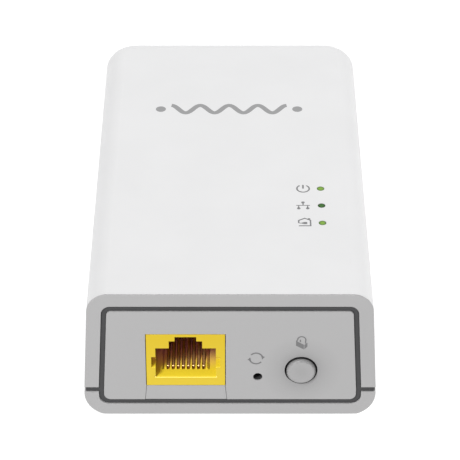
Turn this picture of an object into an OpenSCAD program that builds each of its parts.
// Powerline network adapter: a white plug-in box with a grey port end.
// X runs across the box, +Y runs from the port end to the far end, and +Z points out of the wall.
// The origin is on the rear face, midway between the two plug blades.

/* [Body] */
// Width of the body at its parting line
body_w = 58.2; // [57:0.1:60]
// Height of the body, from the rear face to the top
body_h = 29.3; // [29:0.1:31]
// Distance from the plug centre to the port end, at the parting line
near_l = 71; // [70:0.5:74]
// Distance from the plug centre to the far end, at the parting line
far_l = 28; // [27.5:0.5:32]
// Wall thickness of both covers
wall = 2; // [1.8:0.1:2.2]
// Inward lean of the side walls above the parting line, in degrees
side_draft = 3.05; // [2:0.05:3.5]
// Backward lean of the port end, in degrees
face_lean = 2.64; // [1.5:0.02:3]
// Radius of the long top edges
top_edge_r = 4.25; // [4:0.05:4.5]
// Radius of the long rear edges
rear_edge_r = 5.35; // [5.2:0.05:5.5]
// Radius of the two corners at the far end
corner_r = 7.8; // [7:0.1:8]
// Height of the middle of the parting gap above the rear face
part_z = 6.25; // [6.15:0.05:6.4]
// Width of the parting gap
part_gap = 1.15; // [0.9:0.05:1.2]

/* [Port end] */
// Width of the frame around the port panel, at its top and sides
frame_w = 2.9; // [2.7:0.1:3]
// Width of the frame below the port panel
frame_low = 2.7; // [2.6:0.1:3]
// Thickness of the frame's edge that shows in front of the top cover
lip_t = 0.2; // [0.15:0.05:0.5]
// Chamfer along the rear edge of the port end
low_chamfer = 0.3; // [0.2:0.05:0.5]
// Width of the dark groove at the sides of the panel
groove_w = 1.05; // [0.9:0.05:1.2]
// Width of the dark groove above and below the panel
groove_h = 1.2; // [1.05:0.05:1.25]
// Thickness of the frame and of the front layer of the panel
face_t = 1.6; // [1.4:0.1:1.8]
// Centre of the network jack, across the body
jack_x = -8.78; // [-9.5:0.01:-8]
// Width of the network jack's face
jack_w = 15.6; // [15.5:0.05:16]
// Height of the network jack's face
jack_h = 12.32; // [12.3:0.01:12.6]
// Height of the underside of the jack above the rear face
jack_z = 7.41; // [7.4:0.01:7.5]
// Width of the jack's opening, for a standard eight-way plug
port_w = 11.98; // [11.9:0.01:12.1]
// Radius of the hole for the reset pin
reset_r = 0.92; // [0.84:0.02:1]
// Radius of the hole for the security button
button_hole_r = 3.27; // [3.2:0.01:3.4]
// Radius of the security button
button_r = 2.9; // [2.8:0.02:3]
// Length of the button that stands out of the panel
button_out = 0.8; // [0.6:0.05:1]

/* [Lights] */
// Radius of the three light windows
light_r = 0.76; // [0.7:0.02:0.9]
// Distance between neighbouring light windows
light_pitch = 6.12; // [6:0.02:6.2]

/* [Plug] */
// Distance between the centres of the two flat blades
blade_gap = 12.7; // [12.6:0.1:12.8]
// Width of each flat blade
blade_w = 6.35; // [6.2:0.05:6.5]
// Thickness of each flat blade
blade_t = 1.52; // [1.4:0.02:1.6]
// Length of the flat blades beyond the rear face
blade_l = 17.5; // [16:0.1:18.2]
// Distance from the line of the blades to the earth pin
earth_y = 11.9; // [11.8:0.05:12]
// Radius of the earth pin
earth_r = 2.38; // [2.3:0.01:2.45]
// Length of the earth pin beyond the rear face
earth_l = 20.5; // [19:0.1:21.5]

/* [Hidden] */
$fn = 64;
gap = 0.03;          // assembly clearance between pieces that touch
near_y = -near_l;
half_w = body_w / 2;
core_x = half_w - corner_r;
core_y = far_l - corner_r;
rear_top = part_z - part_gap / 2;
cover_low = part_z + part_gap / 2;
roof_z = body_h - wall;
panel_low = frame_low + groove_h;
// Distances of the frame's and the panel's outlines from the body's: at the sides, top and rear
frame_in = [frame_w, frame_w, frame_low];
panel_in = [frame_w + groove_w, frame_w + groove_h, panel_low];
tongue_z = rear_top + 3;                 // top of the rear cover's inner tongue

// Boards
board_t = 1.6;
logic_z = jack_z - 0.01;                 // top of the logic board
logic_y = [near_y + 5.2, -19.5];
power_z = 11;                            // top of the power board
power_y = [-24, 22.8];
board_x = 24.4;

// Screws, and the posts and bosses around them
screw_at = [[-21.8, -59], [21.8, -59], [-20.4, 16], [20.4, 16]];
screw_r = 1.25;
screw_tip = 12.5;
head_r = 2.5;
head_z = [1, 2.6];
boss_r = 3.1;
post_r = head_r + 1.4;

// Controls behind the panel
button_at = [14.1, 11.1];
button_back = near_y + 5.95;
reset_at = [5.52, 9.46];
reset_tip = near_y + 8.7;
switch_y = near_y + 7.5;

// Lights
light_x = 18.78;
light_y = [for (i = [0 : 2]) near_y + 25.08 + i * light_pitch];

// Jack
contact_pitch = 1.016;
contact_w = 0.42;
jack_gap = 0.14;                         // space around the jack's face, in the panel
jack_depth = 16;
cavity_back = near_y + 12.6;
floor_z = 9.36;
slot_w = 0.66;
spare_w = 0.24;
contact_low = 8.63;                      // underside of the contact wires
notch_w = 0.83;
peg_x = 5.7;                             // board pegs, either side of the jack's centre
shoulder_z = 16.43;
latch_z = [18.12, 19.15];
latch_w = [6.6, 4.26];

// Plug block
block_x = 12.2;
block_y = [-17.4, 6.2];
block_flange = 1.8;

// ---------------------------------------------------------------- shapes used by several parts

function face_y(z) = near_y + (z - part_z) * tan(face_lean);
function wall_x(z) = half_w - max(0, z - part_z) * tan(side_draft);
function all_round(inset) = [inset, inset, inset];

// Extrudes an outline drawn in X and Z from y0 to y1
module along_y(y0, y1) translate([0, y1, 0]) rotate([90, 0, 0]) linear_extrude(y1 - y0) children();

// Extrudes an outline drawn in Y and Z from x0 to x1
module along_x(x0, x1) translate([x0, 0, 0]) rotate([90, 0, 90]) linear_extrude(x1 - x0) children();

// A cylinder whose axis is parallel to Y
module rod_y(r, x, z, y0, y1) translate([x, y0, z]) rotate([-90, 0, 0]) cylinder(r = r, h = y1 - y0);

// A block given by its lowest and highest corners
module block(low, high) translate(low) cube(high - low);

// A block with rounded vertical edges
module rounded_block(low, high, r)
    translate([0, 0, low.z]) linear_extrude(high.z - low.z) {
        block_2d([low.x + r, low.y], [high.x - r, high.y]);
        block_2d([low.x, low.y + r], [high.x, high.y - r]);
        for (x = [low.x + r, high.x - r], y = [low.y + r, high.y - r]) translate([x, y]) circle(r);
    }
module block_2d(low, high) translate(low) square(high - low);

// A round part about a vertical axis, from z0 to z1, with its top edge rounded
module round_can(r, z0, z1, edge)
    translate([0, 0, z0]) rotate_extrude() {
        square([r - edge, z1 - z0]);
        square([r, z1 - z0 - edge]);
        translate([r - edge, z1 - z0 - edge]) circle(edge);
    }

// The body's cross-section in X and Z, brought in at the sides, top and rear by the three `insets`
module outline(insets, r_top, r_rear) {
    low = insets[2];
    top = body_h - insets[1];
    side_x = half_w - insets[0];
    upper = [wall_x(top - r_top) - (insets[0] + r_top) / cos(side_draft), top - r_top];
    lower = [side_x - r_rear, low + r_rear];
    for (side = [0, 1]) mirror([side, 0]) {
        translate(upper) circle(r_top);
        translate(lower) circle(r_rear);
        polygon([[0, low], [lower.x, low], [lower.x + r_rear, lower.y],
            [side_x, part_z],
            [upper.x + r_top * cos(side_draft), upper.y + r_top * sin(side_draft)],
            [upper.x, top], [0, top]]);
    }
}
module body_outline(inset) outline(all_round(inset), top_edge_r - inset, rear_edge_r - inset);

// The outer part of the cross-section, measured from the centre of a far corner
module edge_outline(inset) intersection() {
    translate([-core_x, 0]) body_outline(inset);
    square([corner_r, body_h]);
}

// The whole body, brought in on every side by `inset` and left long at the port end
module body_form(inset) {
    along_y(near_y - 3, core_y) body_outline(inset);
    translate([0, core_y, 0]) along_x(-core_x, core_x) edge_outline(inset);
    translate([core_x, core_y, 0]) rotate_extrude(angle = 90) edge_outline(inset);
    translate([-core_x, core_y, 0]) rotate([0, 0, 90]) rotate_extrude(angle = 90) edge_outline(inset);
}

// The body's plan outline at the parting line, brought in by `inset`, from y0 to the far end
module plan(inset, y0) {
    r = corner_r - inset;
    block_2d([-half_w + inset, y0], [half_w - inset, core_y]);
    block_2d([-core_x, y0], [core_x, far_l - inset]);
    for (x = [-core_x, core_x]) translate([x, core_y]) circle(r);
}

// Everything between d0 and d1 behind the leaning port face
module behind_face(d0, d1) along_x(-body_w, body_w)
    polygon([[face_y(-5) + d0, -5], [face_y(-5) + d1, -5],
        [face_y(body_h + 5) + d1, body_h + 5], [face_y(body_h + 5) + d0, body_h + 5]]);

module above(z) block([-body_w, near_y - 5, z], [body_w, far_l + 5, body_h + 5]);
module below(z) block([-body_w, near_y - 5, -5], [body_w, far_l + 5, z]);

// A layer of the port end: a cross-section between two depths behind the face
module face_layer(d0, d1) intersection() {
    along_y(near_y - 3, near_y + 12) children();
    behind_face(d0, d1);
}

// The outline of the port end's frame, of its panel, and of what is behind them
module frame_outline() outline(frame_in, 1.8, 2);
module panel_outline() outline(panel_in, 0.9, 1.3);
module flange_outline() outline(frame_in + all_round(0.15), 1.6, 1.8);

// ---------------------------------------------------------------- covers and port end

module top_cover() color([0.94, 0.94, 0.94]) {
    difference() {
        intersection() {
            body_form(0);
            behind_face(lip_t, body_w * 3);
            above(cover_low);
        }
        body_form(wall);
        // rebate for the end trim
        face_layer(lip_t - 1, face_t) body_outline(wall / 2);
        for (y = light_y) translate([light_x, y, roof_z - 1]) cylinder(r = light_r + gap, h = wall + 2);
    }
    for (p = screw_at) difference() {
        translate([p.x, p.y, rear_top + gap]) cylinder(r = boss_r, h = roof_z - rear_top);
        translate([p.x, p.y, 0]) cylinder(r = screw_r + gap, h = screw_tip + 2);
    }
    // stiffening ribs under the roof
    for (y = [near_y + 16, near_y + 48, 2])
        block([-20, y - 0.5, roof_z - 1.4], [14, y + 0.5, roof_z + 0.2]);
}

// The upper frame of the port end, with a spigot that slides into the top cover
module end_trim() color([0.73, 0.73, 0.73]) difference() {
    union() {
        face_layer(0, lip_t - gap) body_outline(0);
        face_layer(lip_t - 0.1, face_t - gap) body_outline(wall / 2 + 0.05);
        face_layer(face_t - 0.5, face_t + 3) outline(all_round(wall + 0.1), 2.3, 2.3);
    }
    along_y(near_y - 4, near_y + 12) frame_outline();
    below(cover_low);
}

module rear_cover() color([0.72, 0.72, 0.72]) difference() {
    union() {
        // tray
        difference() {
            intersection() {
                body_form(0);
                behind_face(0, body_w * 3);
                below(rear_top);
            }
            body_form(wall);
        }
        // lower part of the frame around the port panel
        intersection() {
            face_layer(0, face_t) difference() {
                body_outline(0);
                frame_outline();
            }
            below(rear_top);
        }
        // tongue inside the parting gap
        translate([0, 0, wall + 0.5]) linear_extrude(tongue_z - wall - 0.5) difference() {
            plan(wall + 0.22, near_y + 6);
            plan(wall + 1.22, near_y + 5);
        }
        for (p = screw_at) translate([p.x, p.y, wall / 2]) cylinder(r = post_r, h = rear_top - wall / 2);
        for (p = rest_posts()) translate([p.x, p.y, wall - 0.5])
            cylinder(r = 1.5, h = p.z - wall + 0.5 - gap);
    }
    along_x(-body_w, body_w) polygon([[face_y(0) - 1, low_chamfer + 1], [face_y(0) - 1, -1],
        [face_y(0) + low_chamfer + 1, -1]]);
    for (p = screw_at) {
        translate([p.x, p.y, -1]) cylinder(r = head_r + 0.3, h = head_z[1] + 1);
        translate([p.x, p.y, 0]) cylinder(r = screw_r + 0.3, h = rear_top + 1);
    }
    rounded_block([-block_x - gap, block_y[0] - gap, -1],
        [block_x + gap, block_y[1] + gap, wall + 1], 3 + gap);
    label_recess();
    for (x = [-vent_x, vent_x], i = [0 : 5])
        rounded_block([x - vent_l / 2, vent_y + i * vent_pitch, -1],
            [x + vent_l / 2, vent_y + vent_w + i * vent_pitch, wall + 1], vent_w / 2 - 0.01);
}

// Posts of the rear cover that carry the boards: place across, place along, and height
function rest_posts() = concat(
    [for (x = [-19, 19], y = [near_y + 22, -24.2]) [x, y, logic_z - board_t]],
    [for (x = [-14.6, 14.6]) [x, 13, power_z - board_t]]);

vent_x = 19.5;
vent_y = -18;
vent_w = 1.6;
vent_l = 8;
vent_pitch = 4.4;

label_low = [-19, -56.5];
label_high = [19, -27];
module label_recess()
    rounded_block([label_low.x, label_low.y, -1], [label_high.x, label_high.y, 0.2], 1.5);

module rating_label() color([0.85, 0.86, 0.87])
    rounded_block([label_low.x + 0.15, label_low.y + 0.15, 0.05],
        [label_high.x - 0.15, label_high.y - 0.15, 0.2 - gap / 3], 1.35);

// Dark ring in the groove of the port end and in the parting gap along both sides and the far end
module seam_gasket() color([0.2, 0.2, 0.21]) {
    low = rear_top + gap;
    high = cover_low - gap;
    face_layer(0.3, face_t - gap) difference() {
        outline(frame_in + all_round(gap), 1.77, 1.97);
        outline(panel_in - all_round(gap), 0.93, 1.33);
    }
    intersection() {
        translate([0, 0, low]) linear_extrude(high - low) difference() {
            plan(0.3, near_y - 3);
            plan(wall - 0.05, near_y + face_t);
        }
        behind_face(0.3, face_t - gap);
        difference() {
            block([-body_w, near_y - 5, 0], [body_w, near_y + 8, body_h]);
            block([-half_w + frame_w + 0.4, near_y - 5, 0], [half_w - frame_w - 0.4, near_y + 8, body_h]);
        }
    }
    intersection() {
        translate([0, 0, low]) linear_extrude(high - low) difference() {
            plan(0.3, near_y - 3);
            plan(wall - 0.05, near_y - 4);
        }
        behind_face(0.3, body_w * 3);
    }
}

// The tab under the jack widens a little towards its lower end
sill_flare = 0.35;
module sill_outline(grow) polygon([
    [jack_x - jack_w / 2 - grow, jack_z - 0.08 + grow],
    [jack_x + jack_w / 2 + grow, jack_z - 0.08 + grow],
    [jack_x + jack_w / 2 + sill_flare + grow, panel_low - grow],
    [jack_x - jack_w / 2 - sill_flare - grow, panel_low - grow]]);

module io_panel() color([0.73, 0.73, 0.73]) difference() {
    union() {
        face_layer(0, face_t + 0.4) panel_outline();
        face_layer(face_t, face_t + 1.2) flange_outline();
        rod_y(reset_r + 1.1, reset_at.x, reset_at.y, near_y + 2, near_y + 5.5);
    }
    along_y(near_y - 3, near_y + 12)
        block_2d([jack_x - jack_w / 2 - jack_gap, jack_z - 0.1],
            [jack_x + jack_w / 2 + jack_gap, jack_z + jack_h + jack_gap]);
    along_y(near_y - 3, near_y + 12) sill_outline(0.06);
    along_y(near_y + 1.2, near_y + 12) block_2d([jack_x - jack_w / 2 - sill_flare - 0.06, 0],
        [jack_x + jack_w / 2 + sill_flare + 0.06, jack_z]);
    rod_y(reset_r, reset_at.x, reset_at.y, near_y - 3, near_y + 12);
    rod_y(button_hole_r, button_at.x, button_at.y, near_y - 3, near_y + 12);
}

// The tab, and the foot behind it that stands on the floor of the rear cover
module port_sill() color([0.72, 0.72, 0.72]) {
    face_layer(0.02, face_t + 1) sill_outline(0);
    face_layer(face_t + 0.2, face_t + 1) block_2d([jack_x - 6, wall + gap], [jack_x + 6, panel_low + 1]);
}

// The button: a cap with a rounded rim, a flange that holds it in, and a stem that works the switch
module security_button() color([0.76, 0.76, 0.76]) {
    front = face_y(button_at.y) - button_out;
    rim = 0.52;
    flange_y = near_y + 3.45;
    translate([button_at.x, front, button_at.y]) rotate([-90, 0, 0]) rotate_extrude() {
        square([button_r - rim, flange_y - front + 1]);
        translate([0, rim]) square([button_r, flange_y - front - rim + 1]);
        translate([button_r - rim, rim]) circle(rim);
    }
    rod_y(button_hole_r + 0.4, button_at.x, button_at.y, flange_y, flange_y + 1);
    rod_y(1.5, button_at.x, button_at.y, flange_y + 0.9, button_back);
}

// ---------------------------------------------------------------- lights

// A clear pin that carries the light from the board up to the window in the roof
module light_pipe(i) translate([light_x, light_y[i], 0]) {
    shelf = 24.2;
    translate([0, 0, logic_z + 1.2]) cylinder(r = 1.05, h = shelf - logic_z - 1);
    translate([0, 0, shelf]) cylinder(r = 1.5, h = 0.9);
    round_can(light_r, shelf + 0.8, body_h, 0.12);
}
module light_pipe_power() color([0.5, 0.7, 0.25]) light_pipe(2);
module light_pipe_network() color([0.2, 0.4, 0.14]) light_pipe(1);
module light_pipe_home() color([0.5, 0.7, 0.25]) light_pipe(0);

module light_pipe_holder() color([0.15, 0.15, 0.15]) difference() {
    low = light_y[0] - 4;
    high = light_y[2] + 4;
    union() {
        block([light_x - 2.4, low, 22], [light_x + 2.4, high, 24.15]);
        for (y = [low, high - 1.4]) block([light_x - 2.4, y, 22], [light_x + 2.4, y + 1.4, roof_z - gap]);
    }
    for (y = light_y) translate([light_x, y, 20]) cylinder(r = 1.15, h = 6);
}

module status_leds() color([0.9, 0.92, 0.85]) for (y = light_y) translate([light_x, y, logic_z + 0.01]) {
    block([-1, -0.6, 0], [1, 0.6, 0.45]);
    block([-0.65, -0.6, 0.4], [0.65, 0.6, 0.85]);
}

// ---------------------------------------------------------------- network jack and switches

function contact_x(i) = jack_x + (i - 3.5) * contact_pitch;

module rj45_jack() color([0.93, 0.81, 0.3]) {
    difference() {
        intersection() {
            block([jack_x - jack_w / 2, near_y - 1, jack_z],
                [jack_x + jack_w / 2, near_y + jack_depth, jack_z + jack_h]);
            behind_face(0.01, body_w);
        }
        // plug space, and the two steps for the plug's latch
        block([jack_x - port_w / 2, near_y - 2, floor_z], [jack_x + port_w / 2, cavity_back, shoulder_z]);
        for (i = [0, 1]) block([jack_x - latch_w[i] / 2, near_y - 2, floor_z],
            [jack_x + latch_w[i] / 2, cavity_back, latch_z[i]]);
        // side notches at the mouth
        for (side = [-1, 1]) block([jack_x + side * port_w / 2 - notch_w, near_y - 2, 11.75],
            [jack_x + side * port_w / 2 + notch_w, near_y + 3.2, 14.3]);
        // chamfer along the lower edge of the mouth, a little wider than the mouth
        along_x(jack_x - port_w / 2 - 0.2, jack_x + port_w / 2 + 0.2)
            polygon([[near_y - 0.6, floor_z - 0.84], [near_y + 0.6, floor_z + 0.36],
                [near_y - 0.6, floor_z + 0.36]]);
        // a slot in the floor and in the back wall for each contact, and a thin spare at each end
        for (i = [-1 : 8]) {
            half = (i < 0 || i > 7 ? spare_w : slot_w) / 2;
            block([contact_x(i) - half, near_y + 2.7, contact_low - 0.06],
                [contact_x(i) + half, near_y + 14.6, floor_z + 0.1]);
            block([contact_x(i) - half, cavity_back - 0.1, contact_low - 0.06],
                [contact_x(i) + half, cavity_back + 1.2, 16]);
        }
    }
    // low ribs between the contacts
    for (i = [0 : 8]) block([contact_x(i - 0.5) - 0.15, near_y + 3, floor_z - 0.1],
        [contact_x(i - 0.5) + 0.15, cavity_back + 0.1, floor_z + 0.3]);
    for (side = [-1, 1]) translate([jack_x + side * peg_x, near_y + 10, logic_z - board_t - 0.4])
        cylinder(r = 1.5, h = board_t + 1);
}

// Eight springy wires: each runs forward along the floor, turns back at the mouth and slopes up
module jack_contacts() color([0.86, 0.7, 0.36]) for (i = [0 : 7]) {
    bend = [near_y + 4.1, contact_low + 0.45];
    t = 0.34;
    along_x(contact_x(i) - contact_w / 2, contact_x(i) + contact_w / 2) {
        translate(bend) circle(0.45);
        polygon([[bend.x, contact_low], [near_y + 14.3, contact_low],
            [near_y + 14.3, contact_low + t], [bend.x, contact_low + t]]);
        polygon([[bend.x - 0.2, bend.y + 0.4], [near_y + 13.3, 14.2],
            [near_y + 13.3, 14.2 - t], [bend.x + 0.2, bend.y]]);
    }
}

// A side-acting push switch: a metal-fronted box whose plunger points at the panel
module switch_body(at, size, plunger_r, front) difference() {
    union() {
        block([at.x - size.x / 2, front, logic_z + 0.01],
            [at.x + size.x / 2, front + size.y, logic_z + size.z]);
        for (side = [-1, 1]) block([at.x + side * (size.x / 2 + 0.3) - 0.4, front + 0.8, logic_z + 0.01],
            [at.x + side * (size.x / 2 + 0.3) + 0.4, front + 1.8, logic_z + 0.6]);
    }
    rod_y(plunger_r + 0.06, at.x, at.y, front - 1, front + 2.4);
}
module security_switch_body() color([0.18, 0.18, 0.19])
    switch_body(button_at, [6.2, 3.6, 6.8], 1.75, switch_y);
module security_switch_plunger() color([0.85, 0.82, 0.75])
    rod_y(1.75, button_at.x, button_at.y, button_back + 0.05, switch_y + 1.6);
module reset_switch_body() color([0.18, 0.18, 0.19])
    switch_body(reset_at, [4.2, 3.2, 3.9], 0.8, reset_tip + 0.9);
module reset_switch_plunger() color([0.85, 0.82, 0.75])
    rod_y(0.8, reset_at.x, reset_at.y, reset_tip, reset_tip + 2.4);

// ---------------------------------------------------------------- logic board

// A circuit board with notches where the screw bosses pass
module board(y, top) difference() {
    rounded_block([-board_x, y[0], top - board_t], [board_x, y[1], top], 1);
    for (p = screw_at) translate([p.x, p.y, top - board_t - 1]) cylinder(r = post_r + 0.4, h = board_t + 2);
}

module logic_board() color([0.1, 0.36, 0.2]) difference() {
    board(logic_y, logic_z);
    for (side = [-1, 1]) translate([jack_x + side * peg_x, near_y + 10, 0]) cylinder(r = 1.6, h = 12);
    header_holes(logic_z - board_t - 1, logic_z + 1);
}

header_y = -21.6;
header_x = [for (i = [0 : 9]) -9 + i * 2];
module header_holes(z0, z1) for (x = header_x) translate([x, header_y, z0]) cylinder(r = 0.42, h = z1 - z0);

// Ten pins with a plastic spacer between the two boards
module board_header() color([0.15, 0.15, 0.16]) {
    block([-10, header_y - 1.2, logic_z + gap], [10, header_y + 1.2, power_z - board_t - gap]);
    for (x = header_x) translate([x, header_y, logic_z - board_t - 0.6])
        cylinder(r = 0.36, h = power_z - logic_z + board_t + 1.6);
}

// A surface-mounted chip with legs along two sides
module chip(x, y, size, legs) translate([x, y, logic_z + 0.01]) {
    block([-size.x / 2, -size.y / 2, 0.1], [size.x / 2, size.y / 2, size.z]);
    for (side = [-1, 1], i = [0 : legs - 1]) {
        leg_y = (i - (legs - 1) / 2) * size.y / legs;
        leg_x = side * (size.x / 2 + 0.35);
        block([leg_x - 0.45, leg_y - 0.2, 0], [leg_x + 0.45, leg_y + 0.2, 0.3]);
    }
}
module network_chip() color([0.13, 0.13, 0.14]) chip(-3, -41, [13, 13, 1.4], 16);
module ethernet_chip() color([0.13, 0.13, 0.14]) chip(5, -54.5, [7, 7, 1.2], 8);
module memory_chips() color([0.13, 0.13, 0.14]) {
    chip(11, -43.5, [5, 8, 1.2], 4);
    chip(11, -33, [5, 5.2, 1.5], 4);
}
module line_driver_chip() color([0.13, 0.13, 0.14]) chip(-17, -29, [5, 5, 1.2], 5);
module ethernet_transformer() color([0.12, 0.12, 0.13]) chip(-9, -51.5, [12.6, 6.8, 5.2], 8);

module crystal() color([0.75, 0.76, 0.78]) translate([13, -52, logic_z + 0.01]) {
    block([-2.2, -4.4, 0], [2.2, 4.4, 0.5]);
    rounded_block([-1.9, -4.1, 0.4], [1.9, 4.1, 3.2], 1.8);
}

module thermal_pad() color([0.55, 0.6, 0.7])
    block([-9.3, -47.3, logic_z + 1.44], [3.3, -34.7, logic_z + 1.92]);

module heat_sink() color([0.7, 0.71, 0.72]) {
    base = logic_z + 1.95;
    block([-10.5, -48, base], [4.5, -34, base + 1.8]);
    for (i = [0 : 6]) block([-10.5 + i * 2.3, -48, base + 1.7], [-9.3 + i * 2.3, -34, base + 8]);
}

// The small transformer that puts the data signal on the mains
module line_coupler() color([0.25, 0.22, 0.2]) translate([-17, -40, logic_z + 0.01]) {
    block([-4.2, -4.2, 0], [4.2, 4.2, 1.6]);
    translate([0, 0, 1.5]) cylinder(r = 3.1, h = 5.4);
    round_can(4, 6.8, 9, 0.4);
}

module insulation_sheet() color([0.9, 0.9, 0.86]) difference() {
    block([-17, near_y + 6, wall + 2.9], [17, -19.8, wall + 3.2]);
    for (side = [-1, 1]) translate([jack_x + side * peg_x, near_y + 10, 0]) cylinder(r = 2.2, h = 12);
}

// ---------------------------------------------------------------- power board

module power_board() color([0.72, 0.6, 0.3]) difference() {
    board(power_y, power_z);
    header_holes(power_z - board_t - 1, power_z + 1);
    for (side = [-1, 1]) block([side * blade_gap / 2 - blade_t / 2 - 0.1, -1.7, 5],
        [side * blade_gap / 2 + blade_t / 2 + 0.1, 1.7, 15]);
    translate([0, -earth_y, 5]) cylinder(r = 1.1, h = 10);
}

power_top = power_z + gap;
module bulk_capacitors() color([0.12, 0.13, 0.2]) for (x = [-15.5, -4])
    translate([x, x < -10 ? 5.5 : 16, 0]) round_can(5, power_top, power_top + 14.5, 0.8);
module output_capacitor() color([0.12, 0.13, 0.2]) translate([16.5, -17.5, 0])
    round_can(4, power_top, power_top + 11.5, 0.7);

// Ferrite frame around a taped winding
transformer_at = [-13, -11.5];
module transformer_core() color([0.22, 0.22, 0.23])
    translate([transformer_at.x, transformer_at.y, power_top]) {
    for (side = [-1, 1]) block([-7, side * 5.4 - 1.4, 2], [7, side * 5.4 + 1.4, 12.5]);
    for (side = [-1, 1]) block([side * 6 - 1, -4.1, 2], [side * 6 + 1, 4.1, 12.5]);
    block([-6.5, -6.5, 0], [6.5, 6.5, 1.9]);
}
module transformer_winding() color([0.92, 0.8, 0.3])
    translate([transformer_at.x, transformer_at.y, power_top])
    rounded_block([-4.9, -3.9, 2], [4.9, 3.9, 12], 2.5);

module interference_capacitor() color([0.86, 0.7, 0.3])
    rounded_block([3.4, 4.6, power_top], [14.4, 10.2, power_top + 11], 0.8);
module safety_capacitor() color([0.25, 0.42, 0.7]) {
    rod_y(3.8, 5, power_top + 4.4, -19.8, -16.6);
    for (x = [3, 7]) block([x - 0.3, -18.5, power_top], [x + 0.3, -17.9, power_top + 2]);
}
module choke_core() color([0.3, 0.32, 0.3]) translate([13, -3, power_top + 6.2]) rotate([90, 0, 0])
    difference() {
        translate([0, 0, -2.4]) cylinder(r = 5, h = 4.8);
        translate([0, 0, -3]) cylinder(r = 2.5, h = 6);
    }
// Wire wound round both halves of the choke's ring
module choke_winding() color([0.72, 0.42, 0.2]) translate([13, -3, power_top + 6.2]) rotate([90, 0, 0])
    for (side = [0, 180], i = [-3 : 3]) rotate([0, 0, side + i * 16]) translate([3.75, 0, 0])
        difference() {
            block([-2, -0.34, -3.05], [2, 0.34, 3.05]);
            block([-1.3, -1, -2.44], [1.3, 1, 2.44]);
        }
module fuse() color([0.5, 0.28, 0.18]) translate([18.5, 6, 0])
    round_can(3.2, power_top, power_top + 7.5, 0.5);
module varistor() color([0.2, 0.32, 0.62]) {
    rod_y(4.2, -1.5, power_top + 5, 5.8, 9.4);
    for (x = [-3.5, 0.5]) block([x - 0.3, 7.2, power_top], [x + 0.3, 7.8, power_top + 2]);
}
module bridge_rectifier() color([0.13, 0.13, 0.14]) translate([9, 17, power_top]) {
    rounded_block([-3, -3.2, 0.4], [3, 3.2, 3], 0.3);
    for (x = [-2.5, 2.5], y = [-4, 4]) block([x - 0.5, y - 0.9, 0], [x + 0.5, y + 0.9, 0.5]);
}

// ---------------------------------------------------------------- plug

// Insulating block that fills the opening in the rear cover and holds the plug pins
module plug_block() color([0.7, 0.7, 0.7]) difference() {
    union() {
        rounded_block([-block_x, block_y[0], 0], [block_x, block_y[1], 6.6], 3);
        rounded_block([-block_x - block_flange, block_y[0] - block_flange + 0.3, wall + gap],
            [block_x + block_flange, block_y[1] + block_flange, 4.4], 3);
    }
    for (side = [-1, 1]) block([side * blade_gap / 2 - blade_t / 2 - gap, -blade_w / 2 - gap, -1],
        [side * blade_gap / 2 + blade_t / 2 + gap, blade_w / 2 + gap, 8]);
    translate([0, -earth_y, -1]) cylinder(r = earth_r + 0.22 + gap, h = 10);
}

// A flat blade with a tapered tip, a shoulder above the block and a tab through the power board
module plug_blade(x) {
    tip = 2.2;
    along_x(x - blade_t / 2, x + blade_t / 2) polygon([
        [-blade_w / 2, tip - blade_l], [-blade_w / 2 + 1.3, -blade_l],
        [blade_w / 2 - 1.3, -blade_l], [blade_w / 2, tip - blade_l], [blade_w / 2, 8],
        [1.6, 8], [1.6, power_z + 0.8], [-1.6, power_z + 0.8], [-1.6, 8], [-blade_w / 2, 8]]);
}
module plug_blade_live() color([0.8, 0.79, 0.74]) plug_blade(blade_gap / 2);
module plug_blade_neutral() color([0.8, 0.79, 0.74]) plug_blade(-blade_gap / 2);

module plug_earth_pin() color([0.8, 0.79, 0.74]) translate([0, -earth_y, 0]) {
    translate([0, 0, -earth_l + earth_r]) cylinder(r = earth_r, h = earth_l - earth_r + 0.5);
    cylinder(r = earth_r + 0.22, h = 7.6);
    translate([0, 0, -earth_l + earth_r]) intersection() {
        sphere(earth_r);
        translate([0, 0, -earth_r]) cylinder(r = earth_r, h = earth_r);
    }
    translate([0, 0, 7.4]) cylinder(r = 1, h = power_z - 6.6);
}

// Four screws that hold the rear cover to the bosses of the top cover, with cross recesses
module case_screws() color([0.55, 0.56, 0.58]) for (p = screw_at) translate([p.x, p.y, 0]) difference() {
    union() {
        translate([0, 0, head_z[0]]) cylinder(r = head_r, h = head_z[1] - head_z[0] - gap);
        translate([0, 0, head_z[0] + 1]) cylinder(r = screw_r, h = screw_tip - head_z[0] - 1);
    }
    for (turn = [0, 90]) rotate([0, 0, turn]) block([-1.3, -0.28, 0], [1.3, 0.28, head_z[0] + 0.9]);
}

top_cover();
end_trim();
rear_cover();
seam_gasket();
io_panel();
port_sill();
security_button();
light_pipe_power();
light_pipe_network();
light_pipe_home();
light_pipe_holder();
rj45_jack();
jack_contacts();
logic_board();
status_leds();
reset_switch_body();
reset_switch_plunger();
security_switch_body();
security_switch_plunger();
ethernet_transformer();
network_chip();
thermal_pad();
heat_sink();
memory_chips();
ethernet_chip();
crystal();
line_coupler();
line_driver_chip();
board_header();
insulation_sheet();
power_board();
bulk_capacitors();
output_capacitor();
transformer_core();
transformer_winding();
interference_capacitor();
safety_capacitor();
choke_core();
choke_winding();
fuse();
varistor();
bridge_rectifier();
plug_block();
plug_blade_live();
plug_blade_neutral();
plug_earth_pin();
case_screws();
rating_label();
